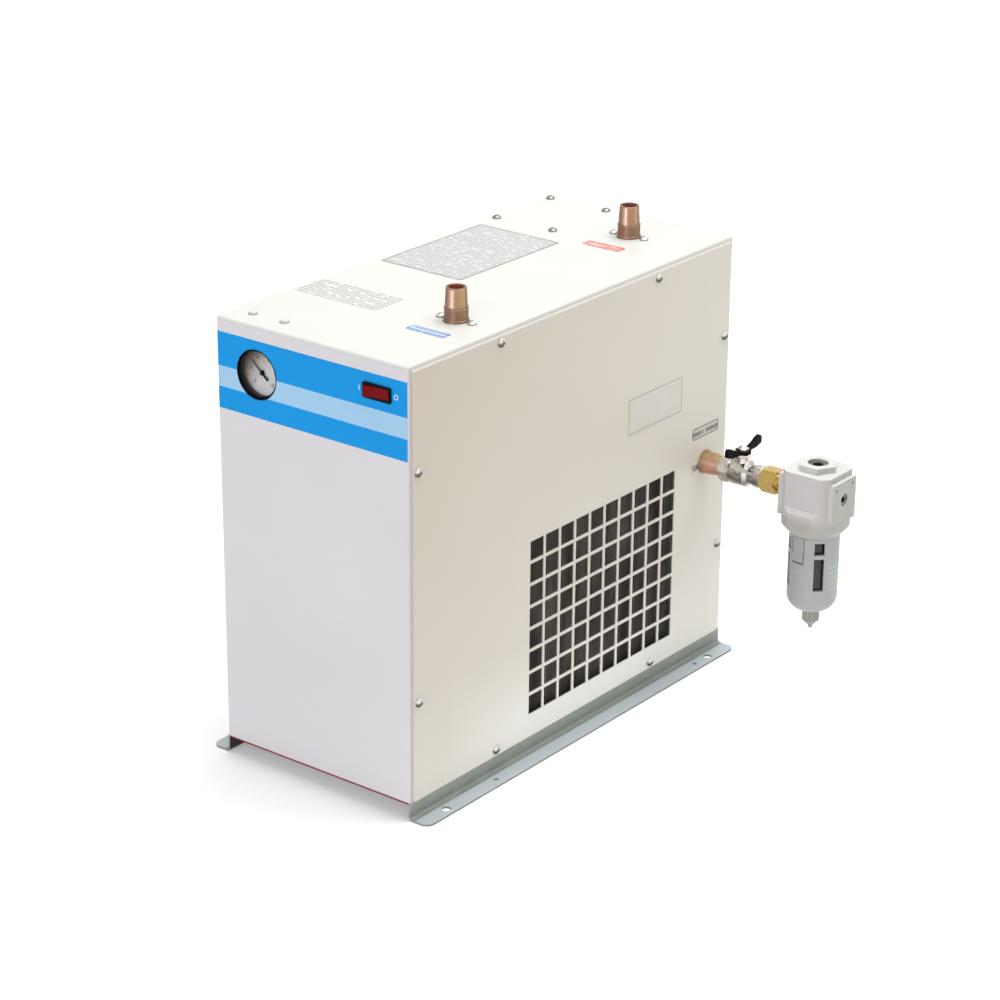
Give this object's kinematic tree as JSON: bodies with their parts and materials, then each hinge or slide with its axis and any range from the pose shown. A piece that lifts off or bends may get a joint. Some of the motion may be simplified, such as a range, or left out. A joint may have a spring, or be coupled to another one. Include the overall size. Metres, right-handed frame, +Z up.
{
  "type": "refrigerated air dryer",
  "caption": "Upright sheet-metal compressed-air dryer with side grille, gauge, rocker switch, top pipe ports and a float drain on a side valve.",
  "frame": {"origin": "on the floor, under the middle of the cabinet and of the four floor bolt holes", "axes": "+X to the right side with the grille and the drain, -Y to the front with the gauge and the switch, +Z up"},
  "size_m": [0.4115, 0.5208, 0.472],
  "materials": {
    "front_paint": "satin powder coat, cool light grey",
    "cover_paint": "satin powder coat, near white",
    "side_paint": "satin powder coat, warm beige",
    "oxide_paint": "red oxide primer",
    "rail_zinc": "dull galvanised",
    "sheet_zinc": "galvanised sheet",
    "blue_film": "printed film, two blues",
    "screw_steel": "plated",
    "white_cap": "gloss",
    "bronze": "dull cast bronze",
    "black_plastic": "moulded",
    "dial_face": "printed dial",
    "needle_black": "painted",
    "clear_lens": "clear",
    "brass": "turned",
    "copper": "drawn copper tube",
    "nickel": "nickel plated",
    "switch_red": "moulded, dark red",
    "cast_grey": "painted die casting",
    "smoke_bowl": "smoked clear plastic",
    "white_plastic": "moulded",
    "grey_plastic": "moulded",
    "knob_grey": "moulded",
    "fin_black": "dark coated fins",
    "shell_black": "gloss black paint",
    "rubber": "moulded",
    "foam": "foam insulation jacket"
  },
  "bodies": {
    "cabinet": {"base_plate": "oxide_paint", "left_foot_rail": "rail_zinc", "right_foot_rail": "rail_zinc", "front_panel": "front_paint", "rear_panel": "cover_paint", "top_cover": "cover_paint", "left_side_panel": "side_paint", "right_side_panel": "side_paint", "stripe_film": "blue_film", "side_screws": "screw_steel", "fitting_screws": "screw_steel", "dome_screws": "white_cap", "inlet_nipple": "bronze", "outlet_nipple": "bronze", "drain_nipple": "bronze", "gauge_case": "black_plastic", "gauge_dial": "dial_face", "gauge_lens": "clear_lens", "gauge_socket": "brass", "gauge_bracket": "sheet_zinc", "gauge_tube": "copper", "switch_housing": "black_plastic", "valve_body": "nickel", "valve_tailpiece": "nickel", "valve_gland": "nickel", "hex_adapter": "brass", "drain_head": "cast_grey", "port_plugs": "grey_plastic", "condenser_fins": "fin_black", "condenser_tubes": "copper", "condenser_frame": "sheet_zinc", "fan_shroud": "sheet_zinc", "fan_motor": "shell_black", "fan_bracket": "sheet_zinc", "compressor": "shell_black", "compressor_feet": "rubber", "terminal_cover": "black_plastic", "heat_exchanger": "foam", "exchanger_hanger": "sheet_zinc", "inlet_pipe": "copper", "outlet_pipe": "copper", "drain_pipe": "copper", "refrigerant_lines": "copper", "filter_drier": "copper", "bypass_valve": "brass", "terminal_box": "grey_plastic", "cable_gland": "black_plastic"},
    "rocker": {"switch_rocker": "switch_red"},
    "needle": {"gauge_needle": "needle_black"},
    "fan": {"fan_rotor": "black_plastic"},
    "lever": {"valve_handle": "black_plastic", "handle_nut": "screw_steel", "valve_stem": "nickel", "valve_ball": "nickel"},
    "bowl": {"bowl_guard": "cast_grey", "clear_bowl": "smoke_bowl"},
    "button": {"lock_button": "cast_grey"},
    "float_body": {"float": "white_plastic"},
    "cock": {"drain_cock": "knob_grey"}
  },
  "joints": [
    {"name": "rocker_tilt", "type": "hinge", "parent": "cabinet", "child": "rocker", "pos_m": [0.0778, -0.2508, 0.4093], "axis": [0, 0, 1], "range_deg": [-18, 0]},
    {"name": "needle_turn", "type": "hinge", "parent": "cabinet", "child": "needle", "pos_m": [-0.0642, -0.25, 0.3933], "axis": [0, 1, 0], "range_deg": [-86, 184]},
    {"name": "fan_spin", "type": "hinge", "parent": "cabinet", "child": "fan", "pos_m": [0.0476, 0.0425, 0.1311], "axis": [1, 0, 0], "continuous": true},
    {"name": "valve_turn", "type": "hinge", "parent": "cabinet", "child": "lever", "pos_m": [0.159, 0.212, 0.214], "axis": [0, 0, 1], "range_deg": [0, 90]},
    {"name": "bowl_turn", "type": "hinge", "parent": "cabinet", "child": "bowl", "pos_m": [0.246, 0.212, 0.178], "axis": [0, 0, 1], "range_deg": [0, 45]},
    {"name": "button_slide", "type": "slide", "parent": "bowl", "child": "button", "axis": [0, 0, -1], "range_m": [0, 0.003], "stiffness_N_per_m": 400},
    {"name": "float_rise", "type": "slide", "parent": "bowl", "child": "float_body", "axis": [0, 0, 1], "range_m": [0, 0.01]},
    {"name": "cock_turn", "type": "hinge", "parent": "bowl", "child": "cock", "pos_m": [0.246, 0.212, 0.09], "axis": [0, 0, 1], "range_deg": [0, 90]}
  ]
}
